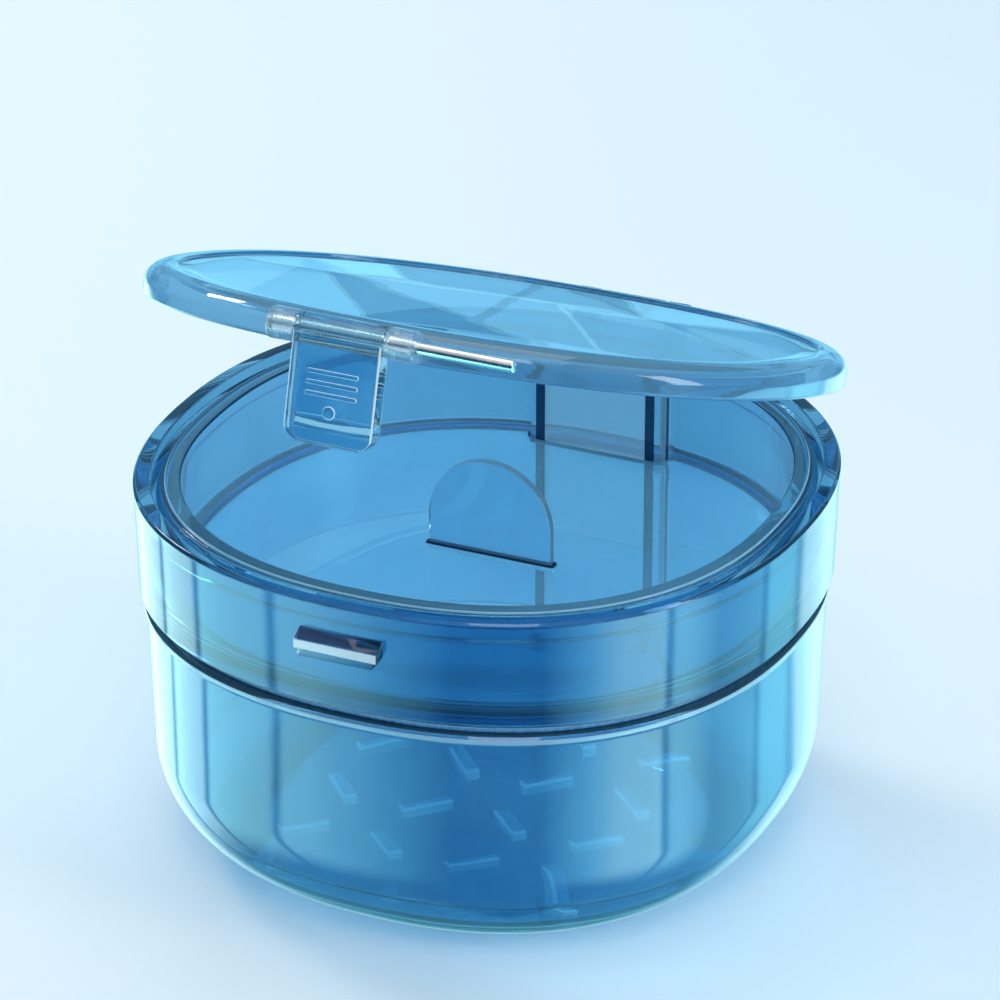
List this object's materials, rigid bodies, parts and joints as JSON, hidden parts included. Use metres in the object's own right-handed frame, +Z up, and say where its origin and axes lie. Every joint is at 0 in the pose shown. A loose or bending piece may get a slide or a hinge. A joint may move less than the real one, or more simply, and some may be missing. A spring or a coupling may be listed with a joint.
{
  "type": "pill crusher",
  "caption": "Clear rounded-square pill crusher: toothed bowl, upper ring with a well, sliding press plate with a finger grip, hinged lid with a swinging latch.",
  "frame": {"origin": "centre of the flat underside, on the surface it stands on", "axes": "+Z up, +Y towards the lid hinge, -Y towards the latch, +X right seen from the latch side"},
  "size_m": [0.085, 0.0931, 0.0848],
  "materials": {
    "clear_blue": "clear tinted, polished",
    "deep_blue": "clear tinted, polished",
    "seal_grey": "satin",
    "steel": "ground wire"
  },
  "bodies": {
    "base": {"base_bowl": "clear_blue", "seam_seal": "seal_grey"},
    "housing": {"upper_ring": "clear_blue", "inner_sleeve": "deep_blue", "hinge_pin": "steel"},
    "press": {"press_plate": "clear_blue", "grip_tab": "deep_blue"},
    "lid": {"lid": "clear_blue", "latch_pin": "steel"},
    "latch": {"latch": "clear_blue"}
  },
  "joints": [
    {"name": "ring_lift", "type": "slide", "parent": "base", "child": "housing", "axis": [0, 0, 1], "range_m": [0, 0.036]},
    {"name": "lid_hinge", "type": "hinge", "parent": "housing", "child": "lid", "pos_m": [0, 0.046, 0.0509], "axis": [-1, 0, 0], "range_deg": [-20, 90]},
    {"name": "latch_hinge", "type": "hinge", "parent": "lid", "child": "latch", "pos_m": [0, -0.0402, 0.08291], "axis": [-1, 0, 0], "range_deg": [-3.5, 100]},
    {"name": "press_slide", "type": "slide", "parent": "housing", "child": "press", "axis": [0, 0, 1], "range_m": [-0.0275, 0]}
  ]
}
